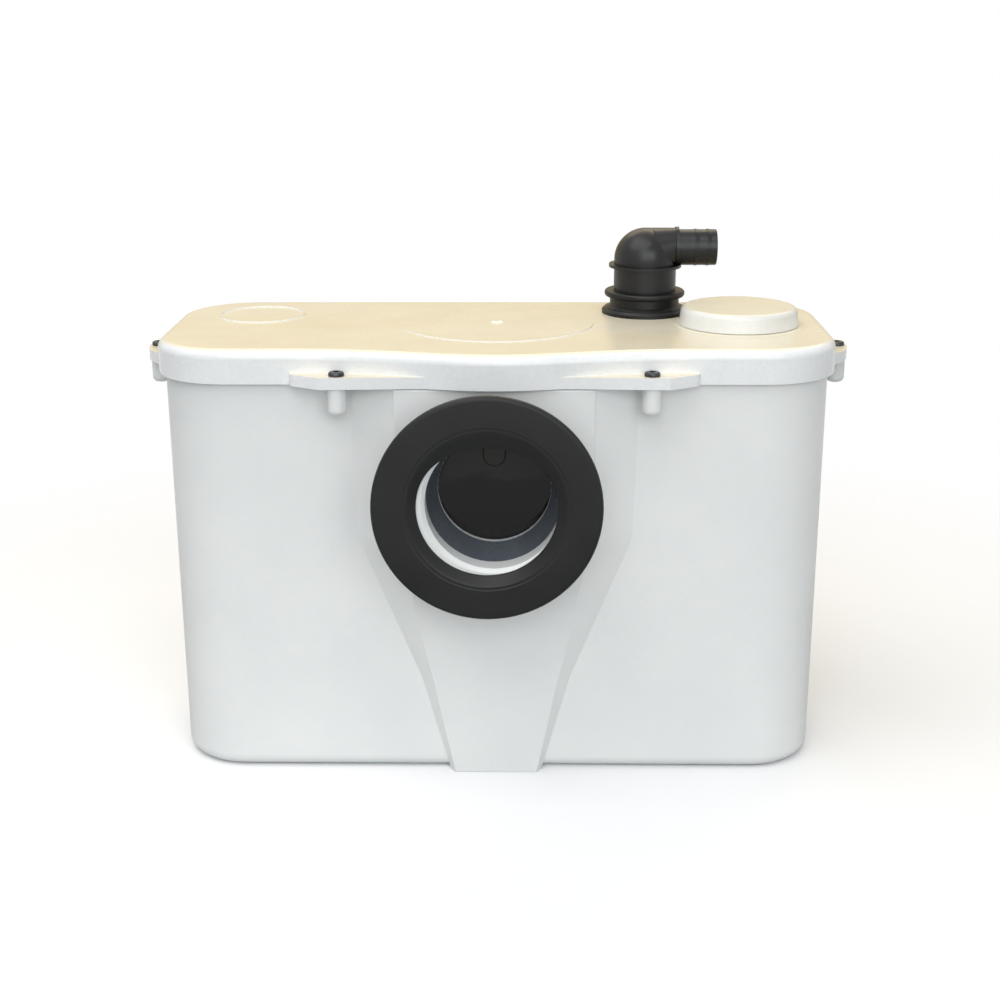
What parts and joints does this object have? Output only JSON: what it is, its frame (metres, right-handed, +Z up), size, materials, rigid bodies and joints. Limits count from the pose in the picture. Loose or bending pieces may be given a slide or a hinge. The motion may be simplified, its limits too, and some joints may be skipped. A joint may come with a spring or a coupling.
{
  "type": "macerator toilet pump",
  "caption": "Low white macerator pump tank with a screwed lid, black rubber pan inlet with swing flap, swivelling discharge elbow and round vent cap.",
  "frame": {"origin": "middle of the tank's flat underside", "axes": "+Z up, the pan inlet faces -Y, +X along the tank towards the discharge elbow's hose spigot"},
  "size_m": [0.4312, 0.2217, 0.3191],
  "materials": {
    "tank_plastic": "satin",
    "lid_plastic": "gloss",
    "seal_rubber": "matte",
    "funnel_plastic": "satin",
    "screw_steel": "satin",
    "collar_rubber": "satin",
    "flap_plastic": "gloss",
    "tab_plastic": "gloss",
    "pin_steel": "polished",
    "cup_rubber": "satin",
    "elbow_plastic": "satin",
    "cap_plastic": "gloss",
    "filter_carbon": "matte",
    "motor_aluminium": "satin",
    "laminated_steel": "satin",
    "copper_wire": "gloss",
    "pump_plastic": "satin",
    "cutter_steel": "satin",
    "basket_plastic": "satin",
    "switch_plastic": "satin",
    "spring_steel": "satin",
    "button_plastic": "gloss",
    "box_plastic": "satin",
    "capacitor_shell": "satin",
    "terminal_plastic": "matte",
    "gland_plastic": "satin"
  },
  "bodies": {
    "housing": {"tank": "tank_plastic", "lid": "lid_plastic", "lid_seal": "seal_rubber", "seat_funnel": "funnel_plastic", "lid_screws": "screw_steel", "inlet_collar": "collar_rubber", "flap_pin": "pin_steel", "discharge_cup": "cup_rubber", "motor_housing": "motor_aluminium", "motor_end_cover": "motor_aluminium", "cover_screws": "screw_steel", "motor_pads": "seal_rubber", "stator": "laminated_steel", "windings": "copper_wire", "bearings": "pin_steel", "shaft_seal": "seal_rubber", "motor_gasket": "seal_rubber", "volute": "pump_plastic", "pump_cover": "pump_plastic", "pump_screws": "screw_steel", "cutter_basket": "basket_plastic", "valve_body": "pump_plastic", "valve_pin": "pin_steel", "discharge_pipe": "pump_plastic", "pressure_bell": "switch_plastic", "switch_membrane": "seal_rubber", "switch_cover": "switch_plastic", "microswitch": "switch_plastic", "control_box": "box_plastic", "capacitor": "capacitor_shell", "terminal_block": "terminal_plastic", "terminal_screws": "screw_steel", "cable_gland": "gland_plastic", "gland_nut": "gland_plastic"},
    "rotor": {"rotor": "laminated_steel", "shaft": "pin_steel", "impeller": "pump_plastic", "cutter": "cutter_steel", "cutter_nut": "pin_steel"},
    "inlet_flap": {"inlet_flap": "flap_plastic", "flap_tab": "tab_plastic"},
    "discharge_elbow": {"discharge_elbow": "elbow_plastic"},
    "vent_cap": {"vent_cap": "cap_plastic", "cap_seal": "seal_rubber", "carbon_filter": "filter_carbon"},
    "valve_flap": {"valve_flap": "seal_rubber"},
    "switch_plunger": {"switch_plunger": "switch_plastic", "switch_spring": "spring_steel"},
    "switch_button": {"switch_button": "button_plastic"}
  },
  "joints": [
    {"name": "motor_spin", "type": "hinge", "parent": "housing", "child": "rotor", "pos_m": [-0.023, 0.006, 0.068], "axis": [1, 0, 0], "continuous": true},
    {"name": "inlet_flap_hinge", "type": "hinge", "parent": "housing", "child": "inlet_flap", "pos_m": [0, -0.0808, 0.226], "axis": [1, 0, 0], "range_deg": [0, 70]},
    {"name": "elbow_swivel", "type": "hinge", "parent": "housing", "child": "discharge_elbow", "pos_m": [0.0934, 0.04, 0.3063], "axis": [0, 0, 1], "range_deg": [-180, 180]},
    {"name": "cap_lift", "type": "slide", "parent": "housing", "child": "vent_cap", "axis": [0, 0, 1], "range_m": [0, 0.015]},
    {"name": "valve_flap_hinge", "type": "hinge", "parent": "housing", "child": "valve_flap", "pos_m": [-0.0595, 0.0536, 0.1375], "axis": [-1, 0, 0], "range_deg": [0, 50]},
    {"name": "plunger_slide", "type": "slide", "parent": "housing", "child": "switch_plunger", "axis": [0, 0, 1], "range_m": [0, 0.0015], "stiffness_N_per_m": 400, "deforming": ["switch_spring"]},
    {"name": "button_slide", "type": "slide", "parent": "housing", "child": "switch_button", "axis": [0, 0, 1], "range_m": [0, 0.0015], "stiffness_N_per_m": 100}
  ],
  "couplings": [
    {"joint": "button_slide", "follows": "plunger_slide", "ratio": 1}
  ]
}
